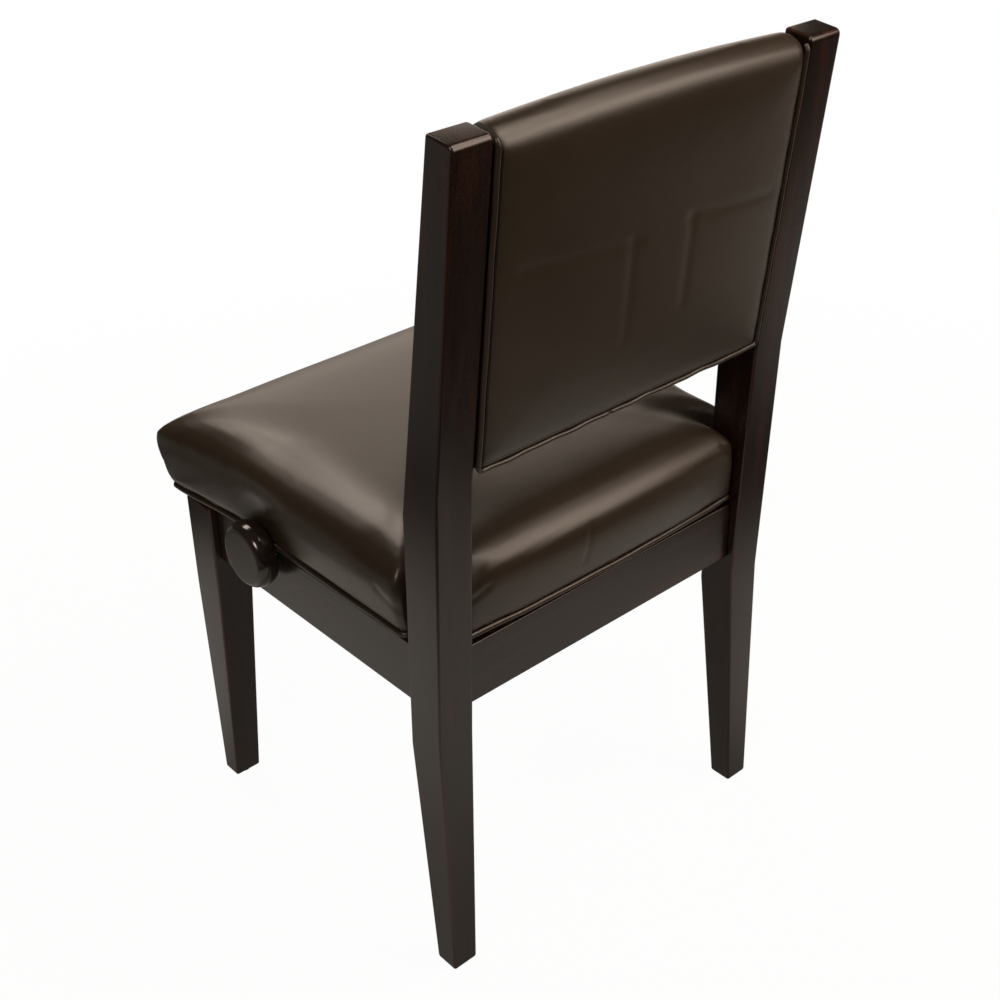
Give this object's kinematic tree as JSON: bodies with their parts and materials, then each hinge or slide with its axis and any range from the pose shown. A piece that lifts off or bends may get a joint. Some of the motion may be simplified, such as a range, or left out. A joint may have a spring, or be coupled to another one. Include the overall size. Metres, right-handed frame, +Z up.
{
  "type": "height-adjustable piano chair",
  "caption": "Hardwood piano chair with raked back legs, an upholstered back panel and an upholstered seat that rises on a scissor lift when a side knob is turned.",
  "frame": {"origin": "on the floor, in the middle of the chair's bounding box, with the seat at its lowest", "axes": "+Z up, -Y the way the sitter faces, +X to the sitter's left"},
  "size_m": [0.505, 0.4987, 0.9067],
  "materials": {
    "espresso_wood": "dark espresso satin lacquer",
    "raw_wood": "plain unfinished hardwood and plywood",
    "brown_vinyl": "dark brown vinyl-coated fabric over foam, fine-grained, half gloss",
    "black_steel": "black powder-coated steel",
    "zinc_steel": "zinc-plated steel",
    "knob_plastic": "glossy brown-black",
    "nylon": "dark nylon"
  },
  "bodies": {
    "frame": {"rear_post_left": "espresso_wood", "rear_post_right": "espresso_wood", "front_leg_left": "espresso_wood", "front_leg_right": "espresso_wood", "front_apron": "espresso_wood", "rear_apron": "espresso_wood", "side_apron_left": "espresso_wood", "side_apron_right": "espresso_wood", "corner_block_front_left": "raw_wood", "corner_block_front_right": "raw_wood", "corner_block_rear_left": "raw_wood", "corner_block_rear_right": "raw_wood", "foot_glide_front_left": "nylon", "foot_glide_front_right": "nylon", "foot_glide_rear_left": "nylon", "foot_glide_rear_right": "nylon", "back_board": "raw_wood", "back_cushion": "brown_vinyl", "back_piping": "brown_vinyl", "back_dowel_lower_left": "raw_wood", "back_dowel_lower_right": "raw_wood", "back_dowel_upper_left": "raw_wood", "back_dowel_upper_right": "raw_wood", "lower_rail_front": "black_steel", "lower_rail_rear": "black_steel", "lower_pivot_front": "zinc_steel", "lower_pivot_rear": "zinc_steel", "screw_bearing_left": "black_steel", "screw_bearing_right": "black_steel"},
    "seat": {"seat_board": "raw_wood", "seat_cushion": "brown_vinyl", "seat_piping": "brown_vinyl", "upper_rail_front": "black_steel", "upper_rail_rear": "black_steel", "upper_pivot_front": "zinc_steel", "upper_pivot_rear": "zinc_steel"},
    "outer_arms": {"outer_arm_front": "black_steel", "outer_arm_rear": "black_steel", "outer_arm_tie": "black_steel", "centre_pin_front": "zinc_steel", "centre_pin_rear": "zinc_steel", "slide_pin_front": "zinc_steel", "slide_pin_rear": "zinc_steel"},
    "inner_arms": {"inner_arm_front": "black_steel", "inner_arm_rear": "black_steel", "inner_arm_tie": "black_steel"},
    "nut": {"nut_carrier": "black_steel", "slide_rod": "zinc_steel"},
    "screw": {"lead_screw": "zinc_steel", "knob_left": "knob_plastic", "knob_right": "knob_plastic", "screw_collar_left": "zinc_steel", "screw_collar_right": "zinc_steel"}
  },
  "joints": [
    {"name": "knob_turn", "type": "hinge", "parent": "frame", "child": "screw", "pos_m": [0, -0.08, 0.3865], "axis": [-1, 0, 0], "range_deg": [0, 2880]},
    {"name": "seat_lift", "type": "slide", "parent": "frame", "child": "seat", "axis": [0, 0, 1], "range_m": [0, 0.08]},
    {"name": "outer_arm_swing", "type": "hinge", "parent": "frame", "child": "outer_arms", "pos_m": [0.13, -0.008, 0.348], "axis": [0, 1, 0], "range_deg": [0, 18.43]},
    {"name": "inner_arm_swing", "type": "hinge", "parent": "seat", "child": "inner_arms", "pos_m": [0.13, -0.008, 0.3855], "axis": [0, -1, 0], "range_deg": [0, 18.43]},
    {"name": "nut_level", "type": "hinge", "parent": "inner_arms", "child": "nut", "pos_m": [-0.12728, -0.008, 0.348], "axis": [0, 1, 0], "range_deg": [0, 18.43]}
  ],
  "couplings": [
    {"joint": "knob_turn", "follows": "seat_lift", "rad_per_m": 628.32},
    {"joint": "outer_arm_swing", "follows": "seat_lift", "rad_per_m": 4.02},
    {"joint": "inner_arm_swing", "follows": "seat_lift", "rad_per_m": 4.02},
    {"joint": "nut_level", "follows": "seat_lift", "rad_per_m": 4.02}
  ]
}
